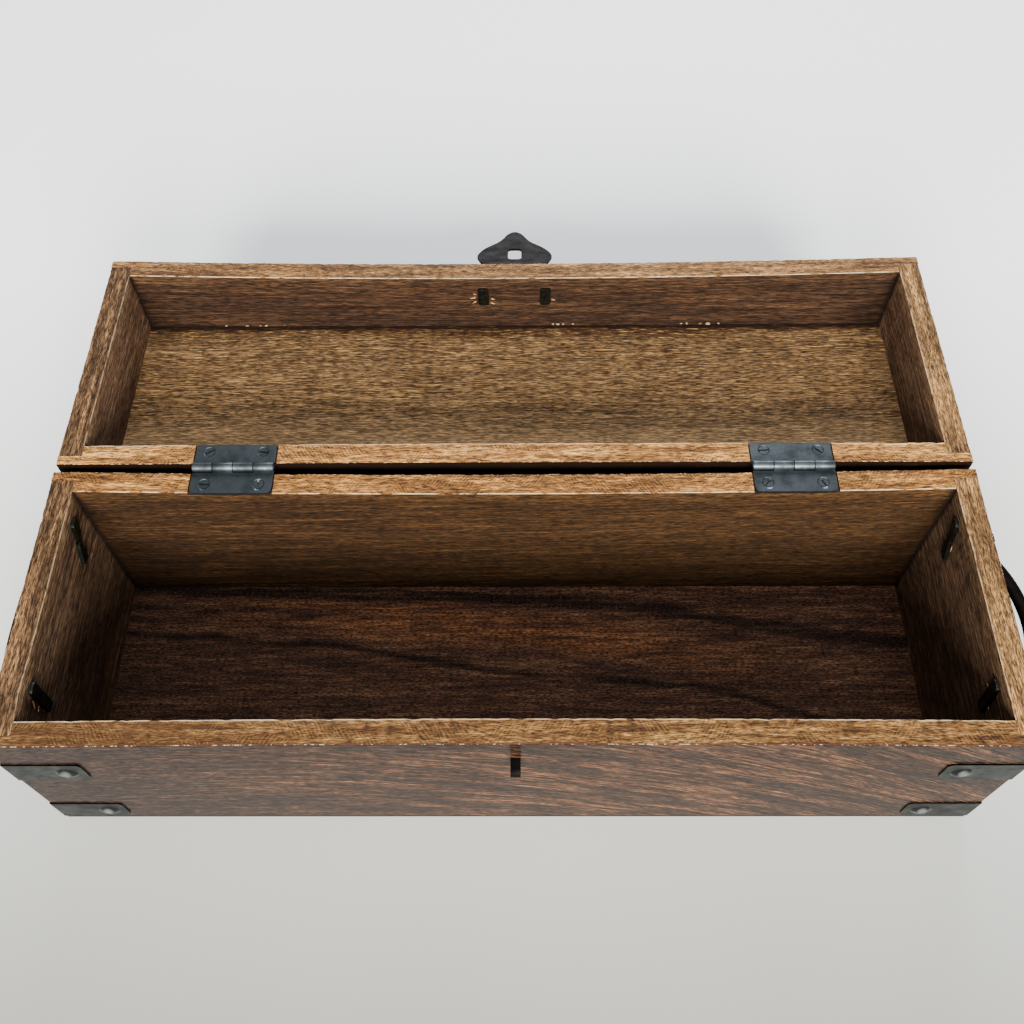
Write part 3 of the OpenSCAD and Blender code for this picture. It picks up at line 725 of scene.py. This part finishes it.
# dirt and painted shade: a dark line in the corner at the far wall
colour = over(tree, colour, "#120906", within(tree, from_hinges, 107.64, 109.44, LID_DEPTH), 0.9)
outside_streaks = grain(tree, place, (28, 3, 3), detail=6.0, rough=0.65)
stain = add(tree, "ValToRGB", {"Fac": outside_streaks}, stops=STAIN)
stain = fibres(tree, stain, place, (9, 0.8, 0.8), 0.6)
_, _, upward = facing(tree)
turned_up = add(tree, "Math", {0: upward, 1: 0.5, 2: 0.5}, operation="MULTIPLY_ADD")
colour = over(tree, colour, stain, mask(tree, turned_up, 0.3, 0.1))
oil_finish(tree, shader, colour, strokes, -0.06)
print("lid panel finish:", planed.name)

# %% [markdown]
# ## Blackened iron
# All the fittings are mild steel sheet and rod, blackened in oil and then handled. A metal shows
# its colour only in what it mirrors, so the base colour is dark and the roughness carries the
# story: dull where the scale is whole, smoother and lighter where hands and screwdrivers rubbed.
# The finest pits are really under 0.2 mm, and are drawn at 1 mm so that they show.

# %% Iron finish


def blackened(name, dark, rubbed, rough, blotch=6.0):
    """Blackened steel in two tones, with its roughness and the size of its blotches in mm."""
    made, tree, shader = finish(name)
    place = on_part(tree)
    scale = grain(tree, place, (blotch, blotch, blotch), detail=4.0)
    pits = grain(tree, place, (1.0, 1.0, 1.0), detail=2.0)
    colour = add(tree, "ValToRGB", {"Fac": scale}, stops=((0.35, dark), (0.65, rubbed)))
    tree.links.new(colour.outputs[0], shader.inputs["Base Color"])
    shader.inputs["Metallic"].default_value = 1.0
    gloss = {"Value": scale, "From Min": 0.3, "From Max": 0.7}
    gloss.update({"To Min": rough + 0.1, "To Max": rough - 0.08})
    tree.links.new(add(tree, "MapRange", gloss).outputs[0], shader.inputs["Roughness"])
    tree.links.new(relief(tree, pits, 0.03).outputs[0], shader.inputs["Normal"])
    return made


hinge_iron = blackened("blued_hinge_steel", "#33383A", "#52585B", 0.46)
strap_iron = blackened("blackened_strap_steel", "#333736", "#464A49", 0.42)
nail_iron = blackened("domed_nail_steel", "#1C1E1F", "#2C2F30", 0.36, blotch=4.0)
black_iron = blackened("blackened_forged_steel", "#0B0908", "#171413", 0.74)
clinch_iron = blackened("hammered_strip_steel", "#1E201E", "#42453F", 0.42, blotch=2.5)
print("iron finishes:", hinge_iron.name, strap_iron.name, nail_iron.name, black_iron.name)

# %% [markdown]
# ## Strap edges and nail crowns
# The straps are sheared from sheet, and their cut edges, which face up or down, are drawn near
# black, so a dark line runs under and over each strap. The lower straps are drawn darker. A domed
# nail is bright only on its crown, where it is rubbed and where a painted highlight sits, a little
# above the middle. Both follow from which way the surface faces: a strap's cut edge faces up or
# down, and a crown faces straight out from the board.

# %% Straps and nails


def to_repaint(material):
    """A finish's node tree, its surface shader, and the colour that goes into it."""
    shader = material.node_tree.nodes["Principled BSDF"]
    return material.node_tree, shader, shader.inputs["Base Color"].links[0].from_socket


tree, shader, flat = to_repaint(strap_iron)
_, _, upward = facing(tree)
edge_on = add(tree, "Math", {0: upward}, operation="ABSOLUTE")
strap = over(tree, flat, "#080706", mask(tree, edge_on, 0.25, 0.5), 0.95)
_, _, height = split(tree, on_part(tree))
strap = over(tree, strap, "#202221", within(tree, height, 36, 30, 100), 0.45)
tree.links.new(strap.outputs[0], shader.inputs["Base Color"])
shader.inputs["Specular Tint"].default_value = linear("#DCDCDC")

tree, shader, dull = to_repaint(nail_iron)
ways = facing(tree)
sizes = [add(tree, "Math", {0: ways[axis]}, operation="ABSOLUTE") for axis in (0, 1)]
level = add(tree, "Math", {0: sizes[0], 1: sizes[1]}, operation="MAXIMUM")
# the bright spot, rubbed metal and a painted highlight, lies a little above the middle of each head
tilted = add(tree, "Math", {0: ways[2], 1: 0.19}, operation="MULTIPLY")
level = add(tree, "Math", {0: level, 1: 0.98, 2: tilted}, operation="MULTIPLY_ADD")
nail = over(tree, dull, "#A2A4A2", mask(tree, level, 0.945, 0.995), 0.7)
tree.links.new(nail.outputs[0], shader.inputs["Base Color"])
print("darker edges on", strap_iron.name, "and bright crowns on", nail_iron.name)

# %% [markdown]
# ## Finishes on the CAD parts
# The record names a material slot for each CAD part, so one table gives each part its finish. A
# CAD edge is perfectly sharp and catches no light, and a real one is slightly rounded. A bevel
# modifier rounds it without touching the part's own mesh.

# %% Finishes on the CAD parts
EASE = 0.2  # mm, width of the eased edges on the fittings
by_slot = {
    "base_panel_wood": sheesham,
    "lid_panel_wood": planed,
    "hinge_iron": hinge_iron,
    "strap_iron": strap_iron,
    "nail_iron": nail_iron,
    "black_iron": black_iron,
}


def ease(fitting):
    """Rounds the sharp edges of a fitting, so that they catch the light."""
    eased = fitting.modifiers.new("eased_edges", "BEVEL")
    eased.width = EASE * MM
    eased.segments = 2
    eased.limit_method = "ANGLE"
    eased.angle_limit = math.radians(40)


slots = {part["node"]: part["material_slot"] for part in frame["record"]["subparts"]}
for node, part in frame["nodes"].items():
    if slots[node] not in by_slot:
        continue
    for place_in_list in range(len(part.material_slots)):
        part.material_slots[place_in_list].material = by_slot[slots[node]]
    if "panel" not in slots[node]:
        ease(part)
print("finishes given to", sum(slots[n] in by_slot for n in frame["nodes"]), "CAD parts")

# %% [markdown]
# ## The base's hinge leaves, fitted to the bowed board
# Each leaf is screwed into a recess in the back board's rim, and its near edge is filed to the
# board's inner face. The board has bowed inward a little there, so the leaf's near edge goes with
# it. Only the points of that edge move: the knuckles and screws stay on the pin's line.

# %% Base leaves
NEAR_EDGE = 54.0  # mm from the middle: all points of a leaf's near edge lie nearer than this
REACH = 0.7  # mm that the edge goes inward
for node in ("left_hinge_base_leaf", "right_hinge_base_leaf"):
    bm = joined(frame["nodes"][node].data, merge_flat=False)
    moved = [v for v in bm.verts if v.co.y < NEAR_EDGE * MM]
    for v in moved:
        v.co.y -= REACH * MM
    piece = piece_from(node + "_fitted", bm, [hinge_iron])
    ease(piece)
    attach(piece, "base")
    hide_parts(node)
    print(piece.name, len(moved), "points moved")

# %% [markdown]
# ## The clinched ends of the loops
# Each loop is a folded strip whose two ends come through the board and are hammered flat on the
# inside. Hammering spreads the ends and rounds their corners. The hasp's loops go through a board
# that bows inward, so their ends move inward with it, or the wood would swallow them. Each loop
# is made from its own solid, so what is outside the box stays exactly as it was.

# %% Hammered ends
END_ROUND = 1.1  # mm, the rounding of a bent end's corners
LOOP_HEIGHT = 78.6  # mm, where a handle's loops come through the end board
FREE_OF_SLOT = 2.5  # mm from there, beyond which an end is spread in full
# loop: its board, how much its ends were spread, how far they lie nearer the rim, and how far the
# upper end lies behind the lower, both in mm
CLINCHES = {
    "hasp_left_loop": ("lid_front_board", 1.08, 2.0, 0.0),
    "hasp_right_loop": ("lid_front_board", 1.08, 2.0, 0.0),
    "left_handle_front_loop": ("base_left_end", 1.7, 0.0, 0.4),
    "left_handle_back_loop": ("base_left_end", 1.7, 0.0, 2.4),
    "right_handle_front_loop": ("base_right_end", 1.6, 0.0, 1.8),
    "right_handle_back_loop": ("base_right_end", 1.6, 0.0, 0.4),
}


def hammered(node):
    """A loop's mesh with its inside ends spread, rounded, dented and moved with the board."""
    board_name, spread, lift, apart = CLINCHES[node]
    board = boards[board_name]
    bm = joined(frame["nodes"][node].data, to_shut if board.lid else None)
    ends = {v: board.place(v.co) for v in bm.verts if board.place(v.co).y < 0.05}
    middle = sum(spot.x for spot in ends.values()) / len(ends)
    corners = []
    for edge in bm.edges:
        a, b = (ends.get(v) for v in edge.verts)
        if a and b and abs(a.y - b.y) > 0.8 and abs(a.x - b.x) < 0.2 and abs(a.z - b.z) < 0.2:
            corners.append(edge)
    width = END_ROUND * MM
    bmesh.ops.bevel(bm, geom=corners, offset=width, segments=3, profile=0.5, affect="EDGES")
    for v in bm.verts:
        along, out, down = board.place(v.co)
        if out > 0.05:
            continue
        dent = noise.noise(Vector((along, out, down)) * 0.8)
        from_slot = board.high[2] - down - LOOP_HEIGHT
        flat = 1.0 if board.lid else min(1.0, abs(from_slot) / FREE_OF_SLOT)
        v.co += board.lengthways * ((along - middle) * (spread - 1) * flat + dent * 0.3) * MM
        upper = 1 if from_slot > 0 else -1
        v.co += board.lengthways * (0.0 if board.lid else upper * apart / 2) * MM
        inward = board.bowed(along, down) - out * (0.4 + max(0.0, dent) * 0.4)
        v.co -= board.outward * inward * MM
        v.co.z += (-lift if board.lid else lift) * MM
    if board.lid:
        bm.transform(to_open)
    return bm, board


for node in CLINCHES:
    bm, board = hammered(node)
    piece = piece_from(node + "_clinched", bm, [black_iron, clinch_iron])
    for face in piece.data.polygons:
        spot = board.place(to_shut @ face.center if board.lid else face.center)
        face.material_index = 1 if spot.y < 0.0 else 0
    ease(piece)
    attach(piece, "lid" if board.lid else "base")
    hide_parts(node)
    print(piece.name, len(piece.data.polygons), "faces")

# %% [markdown]
# ## Splinters and glue
# A chisel cut the slots for those ends, and hammering the ends over lifted the wood round them, so
# pale splinters stand up beside the iron. Where the panel was glued into the lid, beads of glue
# dried in the corner. Both are small, but they are what tells the eye that the box was made by
# hand. Each splinter is a sliver that is flat at its root and lifted at its tip. The beads are
# lumpy, and the noise that makes them so starts from a seed, so that every run gives the same.

# %% Splinters
SLIVER_THICKNESS = 0.25  # mm
# a sliver's outline: share of its length, share of its width, and share of its lift
SLIVER = ((0, -0.5, -0.4), (0, 0.5, -0.4), (0.5, 0.35, 0.5), (1, 0.05, 1.0), (0.6, -0.3, 0.5))
torn_wood, tree, shader = finish("torn_mango")
threads = grain(tree, on_part(tree), (2.0, 0.4, 0.4), detail=2.0)
bare = add(tree, "ValToRGB", {"Fac": threads}, stops=((0.35, "#6E4A2C"), (0.65, "#C49A6C")))
oil_finish(tree, shader, bare, threads, 0.05)

# board, then along, down, turn in degrees, length, width and lift in mm for each splinter
SPLINTERS = {
    "lid_front_board": (
        (-19.4, 14.5, 170, 2.8, 1.0, 0.7), (-19.0, 12.0, 140, 2.0, 0.8, 0.5),
        (-19.2, 17.5, 200, 2.2, 0.7, 0.4), (-11.4, 15.5, 20, 2.0, 1.0, 0.7),
        (-11.6, 18.5, -10, 2.2, 0.7, 0.4), (19.2, 16.0, 0, 2.2, 0.7, 0.4),
    ),
    "base_left_end": (
        (-39.4, 12.0, 200, 3.0, 1.2, 0.7), (-39.2, 18.0, 160, 3.4, 1.0, 0.6),
        (-38.9, 24.0, 110, 3.0, 1.0, 0.6), (39.3, 12.0, 20, 2.4, 0.9, 0.6),
        (39.0, 15.0, 60, 2.2, 0.9, 0.7), (34.0, 26.5, 230, 2.2, 0.8, 0.5),
    ),
    "base_right_end": (
        (-33.6, 16.0, 30, 2.6, 1.0, 0.5), (-38.6, 20.0, 160, 2.4, 0.9, 0.5),
        (-34.4, 9.0, 300, 2.0, 0.8, 0.5), (38.9, 12.0, 40, 2.6, 0.9, 0.5),
        (34.2, 18.0, 200, 2.6, 0.9, 0.5), (38.4, 23.0, 90, 2.2, 0.8, 0.4),
    ),
}


def on_inner_face(board, along, out, down):
    """The point at that place on a board, in metres, with the board bowed."""
    co = Vector((0, 0, 0))
    outer = board.high[board.across] if board.side > 0 else board.low[board.across]
    co[board.along] = along
    co[board.across] = outer - board.side * (BOARD_THICKNESS - out + board.bowed(along, down))
    co[2] = board.low[2] + down if board.lid else board.high[2] - down
    return to_open @ (co * MM) if board.lid else co * MM


for node, slivers in SPLINTERS.items():
    board = boards[node]
    bm = bmesh.new()
    for along, down, turn, length, width, lift in slivers:
        way = Vector((math.cos(math.radians(turn)), -math.sin(math.radians(turn))))
        side = Vector((-way.y, way.x))
        ring = []
        for depth in (0.0, SLIVER_THICKNESS):
            for far, wide, high in SLIVER:
                spot = Vector((along, down)) + way * far * length + side * wide * width
                raised = -(high * lift + depth)
                ring.append(bm.verts.new(on_inner_face(board, spot.x, raised, spot.y)))
        count = len(SLIVER)
        bm.faces.new(ring[:count])
        bm.faces.new(reversed(ring[count:]))
        for a in range(count):
            b = (a + 1) % count
            bm.faces.new((ring[a], ring[a + count], ring[b + count], ring[b]))
    bmesh.ops.recalc_face_normals(bm, faces=bm.faces)
    piece = piece_from(node + "_splinters", bm, [torn_wood])
    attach(piece, "lid" if board.lid else "base")
print("splinters:", sum(len(s) for s in SPLINTERS.values()))

# %% Glue beads
dried_glue, tree, shader = finish("dried_wood_glue")
cloudy = grain(tree, on_part(tree), (1.5, 1.5, 1.5), detail=2.0)
amber = add(tree, "ValToRGB", {"Fac": cloudy}, stops=((0.35, "#4E3D2C"), (0.65, "#94805F")))
oil_finish(tree, shader, amber, cloudy, 0.1, rough=0.4, sheen=0.5)
JOINT_Y, JOINT_Z = 180.2, 57.6  # mm, the corner between the lid's front board and its panel
# each bead: where it lies along the box, and its radius, in mm
BEADS = (
    (-151.7, 0.6), (-140.7, 0.7), (-133.8, 0.6), (-130.7, 0.6), (-121, 0.4),
    (20.5, 0.6), (23.2, 0.7), (26, 0.5), (31, 0.5),
    (88, 0.5), (91, 0.5), (98, 0.7), (102, 1.0), (107.5, 0.6),
)
FLATTENED = Matrix.Diagonal((1.4, 0.9, 0.6, 1))
LUMP_SEED = 1795482854  # with no seed, the noise of this kind would start from the clock
noise.seed_set(LUMP_SEED)
bm = bmesh.new()
for number, (x, radius) in enumerate(BEADS):
    drop = Matrix.Translation(Vector((x, JOINT_Y - radius * 0.3, JOINT_Z)) * MM) @ FLATTENED
    made = bmesh.ops.create_icosphere(bm, subdivisions=3, radius=radius * MM, matrix=drop)
    for v in made["verts"]:
        v.co += noise.noise_vector(v.co / MM * 0.9 + Vector((number, 0, 0))) * 0.2 * MM
glue = piece_from("lid_glue_beads", bm, [dried_glue])
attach(glue, "lid")
print("glue beads:", len(BEADS))

# %% [markdown]
# ## Camera, table and light
# The camera stands in front of the box and above it, and looks down by almost 60 degrees. The box
# stands on a plain pale table, which the lacquer and the straps mirror. Two large lamps in front,
# like windows, do most of the work. They stand three metres away, because a near lamp draws steps
# of half shadow inside the boxes. They throw the soft shadow behind the lid. A weaker one behind
# keeps the back from going black, and a weak one above fills the insides, as a ceiling does.

# %% Camera
CAMERA_AT = Vector((4.186, -198.85, 487.241)) * MM
YAW, PITCH, ROLL = 0.0185976, 1.0215782, -0.0189685  # radians
ahead = math.cos(PITCH)
forward = Vector((-math.sin(YAW) * ahead, math.cos(YAW) * ahead, -math.sin(PITCH)))
level = Vector((math.cos(YAW), math.sin(YAW), 0))
upward = level.cross(forward)
right = level * math.cos(ROLL) + upward * math.sin(ROLL)
top = upward * math.cos(ROLL) - level * math.sin(ROLL)
lens = bpy.data.cameras.new("camera")
lens.sensor_width = 36.0  # mm
lens.lens = 37.656  # mm
lens.clip_start = 0.01  # m
camera = bpy.data.objects.new("camera", lens)
looking = Matrix((right, top, -forward)).transposed().to_4x4()
camera.matrix_world = Matrix.Translation(CAMERA_AT) @ looking
bpy.context.scene.collection.objects.link(camera)
bpy.context.scene.camera = camera
print("camera looks down by", round(math.degrees(PITCH), 1), "degrees")

# %% Table
TABLE_SIDE = 6.0  # m
TABLE_FRONT = 300.0  # mm in front of the box's middle, from where the paint grows paler
TABLE_DEPTH = 1000.0  # mm over which it does
table_paint, tree, shader = finish("matt_white_table")
_, y, _ = split(tree, on_part(tree))
from_front = add(tree, "Math", {0: y, 1: TABLE_FRONT}, operation="ADD")
depth = add(tree, "Math", {0: from_front, 1: 1 / TABLE_DEPTH}, operation="MULTIPLY")
mottle = add(tree, "TexNoise", {"Vector": on_part(tree), "Scale": 0.004, "Detail": 2.0})
depth = add(tree, "Math", {0: mottle, 1: 0.06, 2: depth}, operation="MULTIPLY_ADD")
# painted light: the table is painted from grey at the front to near white at the back, standing in for light that
# is brighter at the back
stops = ((0.13, "#807F79"), (0.32, "#BABBB7"), (0.6, "#F4F6F5"))
pale = add(tree, "ValToRGB", {"Fac": depth}, stops=stops)
tree.links.new(pale.outputs[0], shader.inputs["Base Color"])
shader.inputs["Roughness"].default_value = 0.7
bm = bmesh.new()
bmesh.ops.create_grid(bm, x_segments=4, y_segments=4, size=TABLE_SIDE / 2)
table = piece_from("table", bm, [table_paint])
print("table", TABLE_SIDE, "m square")

# %% Light
world = bpy.data.worlds.new("pale_room")
world.use_nodes = True
room = world.node_tree.nodes["Background"]
room.inputs["Color"].default_value = linear("#E6EAEE")
room.inputs["Strength"].default_value = 0.23
bpy.context.scene.world = world


def lamp(name, at, toward, size, power, colour):
    """A soft lamp: where it is, what it points at, its two sides in m and its power in watts."""
    light = bpy.data.lights.new(name, "AREA")
    light.shape = "RECTANGLE"
    light.size, light.size_y = size
    light.energy = power
    light.color = linear(colour)[:3]
    made = bpy.data.objects.new(name, light)
    made.location = at
    made.rotation_euler = (Vector(toward) - Vector(at)).to_track_quat("-Z", "Y").to_euler()
    bpy.context.scene.collection.objects.link(made)


BOX_MIDDLE = (0, 0.1, 0)  # m
lamp("right_window_lamp", (0.9, -3.0, 1.8), BOX_MIDDLE, (1.25, 1.4), 335.0, "#FFFCF6")
lamp("left_window_lamp", (-0.9, -3.0, 1.8), BOX_MIDDLE, (1.25, 1.4), 285.0, "#FFFCF6")
lamp("back_fill_lamp", (0.3, 2.6, 1.3), (0, 0.1, 0.05), (1.6, 1.0), 105.0, "#F4F8FF")
lamp("ceiling_lamp", (0.1, -0.2, 1.8), BOX_MIDDLE, (1.3, 1.3), 21.0, "#F8FBFF")
